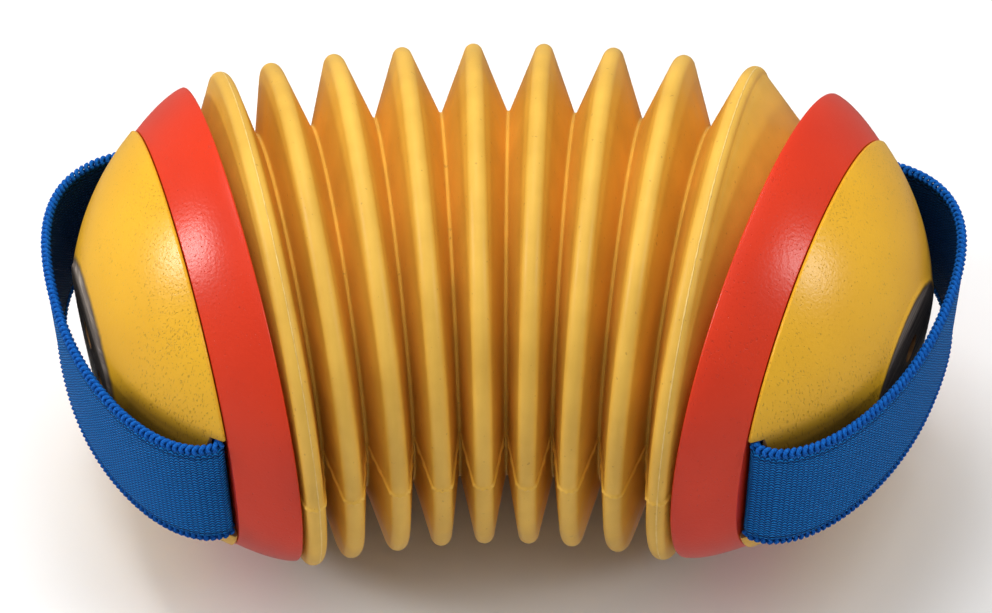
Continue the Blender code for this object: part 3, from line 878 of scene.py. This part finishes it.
def elastic_look():
    """Deep blue knitting with painted shade in its pits, painted shade along a seam groove near each edge and
    painted shade over the inner face.
    """
    made, tree, shader = new_material("blue_elastic", 0.85, Specular_IOR_Level=0.12)
    place = attribute(tree, "knit", "Vector")
    height, parts = knit_height(tree, place)
    fuzz = noise(tree, place, 2600.0, 2.0)
    height = maths(tree, "ADD", height, maths(tree, "MULTIPLY", fuzz, 0.25))
    # Painted shade and light: the knit is coloured darker down in its pits and paler on its raised stitches
    stops = [(0.1, (0.001, 0.012, 0.07)), (0.4, (0.003, 0.080, 0.32))]
    stops += [(0.7, (0.004, 0.155, 0.52)), (1.0, (0.008, 0.24, 0.70))]
    colour = ramp(tree, height, stops)
    # Painted shade along the seam groove near each edge
    off_line = maths(tree, "SUBTRACT", maths(tree, "ABSOLUTE", parts["Y"]), EDGE_SEAM)
    from_groove = maths(tree, "DIVIDE", maths(tree, "ABSOLUTE", off_line), SEAM_GROOVE)
    groove = maths(tree, "SUBTRACT", 1.0, from_groove, clamp=True)
    colour = mixed(tree, maths(tree, "MULTIPLY", groove, 0.8), colour, (0.002, 0.018, 0.09))
    # Painted shade over the strap's inner face
    inner = maths(tree, "MULTIPLY", parts["Z"], 0.8, clamp=True)
    colour = mixed(tree, inner, colour, (0.002, 0.012, 0.05))
    tree.links.new(colour, shader.inputs["Base Color"])
    bump(tree, shader, maths(tree, "SUBTRACT", height, groove), 0.4 * MM, 1.0)
    return made


def edge_look():
    made, tree, shader = new_material("blue_edge_cord", 0.85, Specular_IOR_Level=0.12)
    place = own_place(tree)
    strands = noise(tree, place, 2400.0, 2.0)
    stops = [(0.3, (0.004, 0.065, 0.30)), (0.7, (0.010, 0.14, 0.54))]
    tree.links.new(ramp(tree, strands, stops), shader.inputs["Base Color"])
    bump(tree, shader, strands, 0.1 * MM, 1.0)
    return made


def metal_look(name, colour, roughness):
    made, tree, shader = new_material(name, roughness, Metallic=1.0)
    marks = noise(tree, object_place(tree), 1800.0, 3.0)
    darker = tuple(c * 0.7 for c in colour)
    tree.links.new(ramp(tree, marks, [(0.3, darker), (0.7, colour)]), shader.inputs["Base Color"])
    bump(tree, shader, marks, 0.02 * MM, 0.5)
    return made


def moulded_look(name, colour, roughness):
    made, tree, shader = new_material(name, roughness)
    grain = noise(tree, object_place(tree), 1400.0, 2.0)
    paler = tuple(min(1.0, c * 1.12) for c in colour)
    tree.links.new(ramp(tree, grain, [(0.35, colour), (0.65, paler)]), shader.inputs["Base Color"])
    bump(tree, shader, grain, 0.05 * MM, 0.5)
    return made


def make_looks():
    return {
        "rubber": rubber_look(),
        "rubber_inside": moulded_look("bellows_rubber_inside", (0.60, 0.28, 0.04), 0.5),
        "red_paint": red_paint_look(),
        "yellow_paint": yellow_paint_look(),
        "bare_wood": wood_look("bare_wood", (0.30, 0.13, 0.045), (0.48, 0.25, 0.09)),
        "plywood": wood_look("birch_plywood", (0.42, 0.29, 0.16), (0.62, 0.46, 0.28)),
        "elastic": elastic_look(),
        "edge": edge_look(),
        "steel": metal_look("zinc_steel", (0.60, 0.60, 0.58), 0.35),
        "brass": metal_look("reed_brass", (0.78, 0.57, 0.24), 0.3),
        "plastic": moulded_look("reed_plastic", (0.70, 0.68, 0.62), 0.45),
    }


def dress_inner_pieces(looks):
    """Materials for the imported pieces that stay: those inside the two ends."""
    words = [("flange", "rubber_inside"), ("clamp_ring", "plywood"), ("clamp_screw", "steel")]
    words += [("strap_tack", "steel"), ("reed_block", "plastic"), ("reed", "brass")]
    for name, thing in frame["nodes"].items():
        found = [look for word, look in words if word in name]
        if found:
            thing.data.materials.clear()
            thing.data.materials.append(looks[found[0]])


# ---------------------------------------------------------------- the studio

CAMERA_FROM_CREST = Vector((3.76, -444.85, 525.51)) * MM
CAMERA_DEPRESSION = math.radians(50)
CAMERA_ROLL = math.radians(-0.7)
CAMERA_LENS = 113.1
WORLD_STRENGTH = 0.22
LIGHTS = (  # name, place, side, power, seen in reflections
    ("key", (-0.12, 0.20, 0.85), 0.42, 3.9, False),
    ("ceiling", (-0.2, 0.1, 2.2), 3.0, 34.0, False),
    ("left_box", (-0.90, -0.02, 0.51), 0.2, 3.0, True),
    ("right_box", (0.88, -0.20, 0.52), 0.2, 1.8, True),
)


def place_camera(middle_crest):
    camera = bpy.data.objects.new("camera", bpy.data.cameras.new("camera"))
    camera.data.lens = CAMERA_LENS
    camera.data.sensor_width = 36.0
    camera.data.clip_start = 0.01
    tilt = Matrix.Rotation(math.pi / 2 - CAMERA_DEPRESSION, 4, "X")
    place = Matrix.Translation(Vector(middle_crest) + CAMERA_FROM_CREST)
    camera.matrix_world = place @ tilt @ Matrix.Rotation(CAMERA_ROLL, 4, "Z")
    bpy.context.scene.collection.objects.link(camera)
    bpy.context.scene.camera = camera


def lay_floor():
    look, tree, shader = new_material("studio_floor", 0.7)
    shade = ramp(tree, noise(tree, object_place(tree), 2.0), [(0.3, (0.86,) * 3), (0.7, (0.88,) * 3)])
    tree.links.new(shade, shader.inputs["Base Color"])
    corners = [(-3, -3, 0), (3, -3, 0), (3, 3, 0), (-3, 3, 0)]
    floor = mesh_object("floor", corners, [(0, 1, 2, 3)], look)
    floor.visible_glossy = False


def light_world():
    bpy.context.scene.view_settings.view_transform = "Standard"
    world = bpy.data.worlds.new("studio")
    world.use_nodes = True
    world.node_tree.nodes["Background"].inputs["Color"].default_value = (1, 1, 1, 1)
    world.node_tree.nodes["Background"].inputs["Strength"].default_value = WORLD_STRENGTH
    bpy.context.scene.world = world


def hang_lights():
    """Square lamps aimed at the bellows' middle. Only the two side boxes show as highlights."""
    for name, place, size, power, mirrored in LIGHTS:
        lamp = bpy.data.lights.new(name, "AREA")
        lamp.shape = "SQUARE"
        lamp.size = size
        lamp.energy = power
        holder = bpy.data.objects.new(name, lamp)
        holder.location = place
        holder.visible_glossy = mirrored
        aim = Vector((0, 0, AXIS_HEIGHT)) - Vector(place)
        holder.rotation_euler = aim.to_track_quat("-Z", "Y").to_euler()
        bpy.context.scene.collection.objects.link(holder)


def main():
    looks = make_looks()
    crests, folds, ends = arch_stations()
    place_camera(crests[5].centre)
    lay_floor()
    light_world()
    hang_lights()
    dress_inner_pieces(looks)
    build_bellows(crests, folds, ends, looks["rubber"])
    for hand in ("left", "right"):
        build_end(hand, ends[hand], looks)


main()
